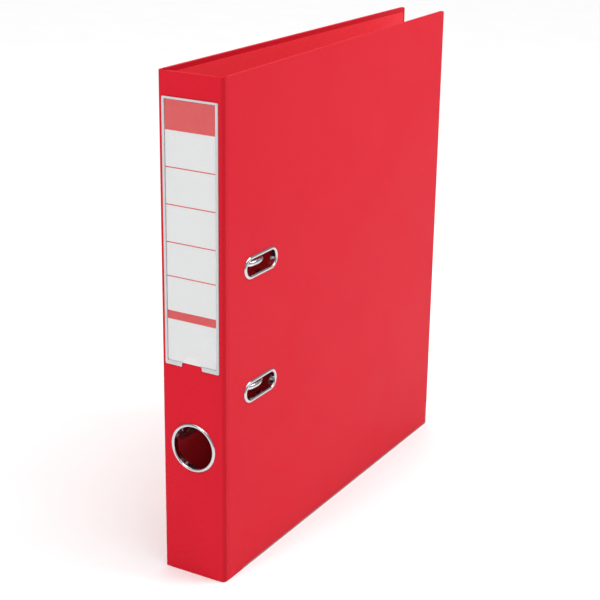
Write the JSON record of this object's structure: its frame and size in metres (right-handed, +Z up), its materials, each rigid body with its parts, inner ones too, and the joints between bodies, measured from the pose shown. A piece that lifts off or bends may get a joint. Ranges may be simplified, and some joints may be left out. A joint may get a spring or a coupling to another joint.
{
  "type": "lever arch file",
  "caption": "Upright A4 lever arch file with film covered board covers, a label pocket and finger ring in the spine, metal slots and a lever arch mechanism inside.",
  "frame": {"origin": "middle of the bounding box in X and Y, at the file's lower edge", "axes": "+Z up along the spine, +X from the spine to the fore edge, -Y out of the front cover"},
  "size_m": [0.287, 0.0464, 0.318],
  "materials": {
    "film_red": "red polypropylene film with a fine embossed grain over greyboard",
    "lining_red": "smooth red polypropylene lining",
    "chrome": "bright nickel plate",
    "steel": "bright zinc plated steel",
    "zinc": "satin zinc plated steel sheet",
    "clear_film": "clear glossy film",
    "card": "uncoated printed paper card",
    "glide": "black plastic"
  },
  "bodies": {
    "back_cover": {"back_cover_board": "film_red", "back_cover_lining": "lining_red", "back_edge_strip": "steel", "mechanism_base_plate": "zinc", "rivet_1": "steel", "rivet_2": "steel", "rivet_3": "steel", "rivet_4": "steel", "post_lower": "chrome", "post_upper": "chrome", "lever_pin": "steel"},
    "spine": {"spine_board": "film_red", "spine_lining": "lining_red", "finger_ring": "chrome", "finger_ring_washer": "steel", "label_pocket": "clear_film", "front_fold": "film_red", "back_fold": "film_red"},
    "label_card": {"label_card": "card"},
    "front_cover": {"front_cover_board": "film_red", "front_cover_lining": "lining_red", "front_edge_strip": "steel", "slot_eyelet_lower": "chrome", "slot_eyelet_upper": "chrome", "slot_washer_lower": "steel", "slot_washer_upper": "steel"},
    "arches": {"crossbar": "steel", "arch_lower": "chrome", "arch_upper": "chrome"},
    "lever": {"lever": "chrome", "roller_pin": "steel"},
    "roller": {"lever_roller": "zinc"},
    "compressor": {"compressor_bar": "steel", "compressor_glide_lower": "glide", "compressor_glide_upper": "glide"}
  },
  "joints": [
    {"name": "spine_hinge", "type": "hinge", "parent": "back_cover", "child": "spine", "pos_m": [-0.1399, 0.02023, 0.159], "axis": [0, 0, -1], "range_deg": [0, 92], "deforming": ["back_fold"]},
    {"name": "front_cover_hinge", "type": "hinge", "parent": "spine", "child": "front_cover", "pos_m": [-0.1399, -0.01957, 0.159], "axis": [0, 0, -1], "range_deg": [0, 150], "deforming": ["front_fold"]},
    {"name": "label_card_slide", "type": "slide", "parent": "spine", "child": "label_card", "axis": [0, 0, -1], "range_m": [0, 0.036]},
    {"name": "arches_hinge", "type": "hinge", "parent": "back_cover", "child": "arches", "pos_m": [-0.1143, 0.01254, 0.159], "axis": [0, 0, -1], "range_deg": [0, 45]},
    {"name": "lever_hinge", "type": "hinge", "parent": "back_cover", "child": "lever", "pos_m": [-0.12464, 0.00476, 0.131], "axis": [0.9991, -0.042, 0], "range_deg": [0, 84]},
    {"name": "roller_spin", "type": "hinge", "parent": "lever", "child": "roller", "pos_m": [-0.12483, 0.00024, 0.12648], "axis": [0.9991, -0.042, 0], "continuous": true},
    {"name": "compressor_slide", "type": "slide", "parent": "back_cover", "child": "compressor", "axis": [-0.042, -0.9991, 0], "range_m": [0, 0.011]}
  ],
  "couplings": [
    {"joint": "arches_hinge", "follows": "front_cover_hinge", "ratio": 0.3},
    {"joint": "lever_hinge", "follows": "front_cover_hinge", "ratio": 0.56}
  ]
}
